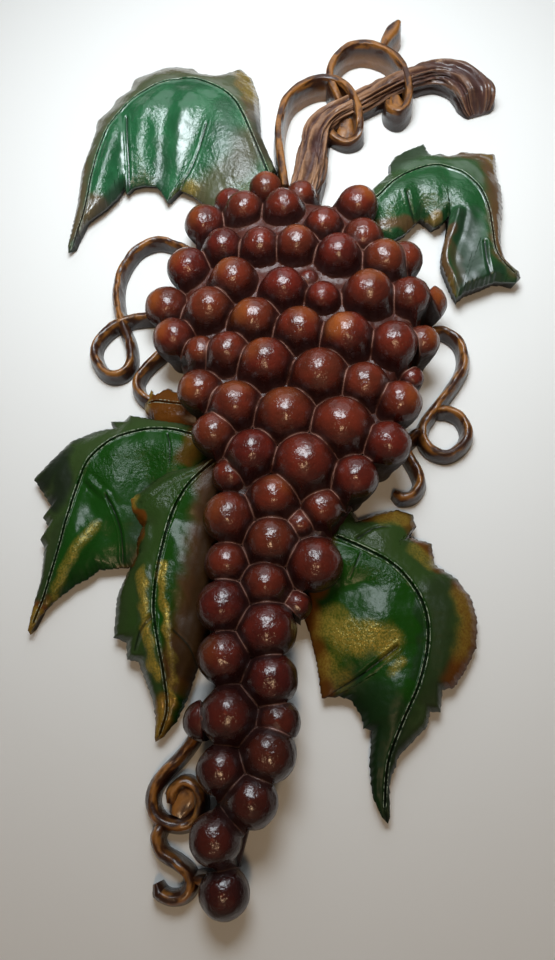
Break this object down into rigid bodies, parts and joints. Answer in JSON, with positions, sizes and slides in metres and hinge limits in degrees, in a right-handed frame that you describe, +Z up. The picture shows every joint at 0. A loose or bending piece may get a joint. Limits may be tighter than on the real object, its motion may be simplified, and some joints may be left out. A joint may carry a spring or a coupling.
{
  "type": "decorative wall plaque",
  "caption": "Moulded bunch of grapes on a curling vine stem with leaves and tendrils, made to hang flat on a wall.",
  "frame": {"origin": "on the flat back that lies against the wall, near the top of the bunch of grapes", "axes": "+Z up as the plaque hangs, +Y into the wall, so the front faces -Y, and +X to the viewer's right"},
  "size_m": [0.2949, 0.0532, 0.5805],
  "materials": {
    "lacquered_moulding": "painted and gloss lacquered"
  },
  "bodies": {
    "root": {"plaque": "lacquered_moulding"}
  },
  "joints": []
}
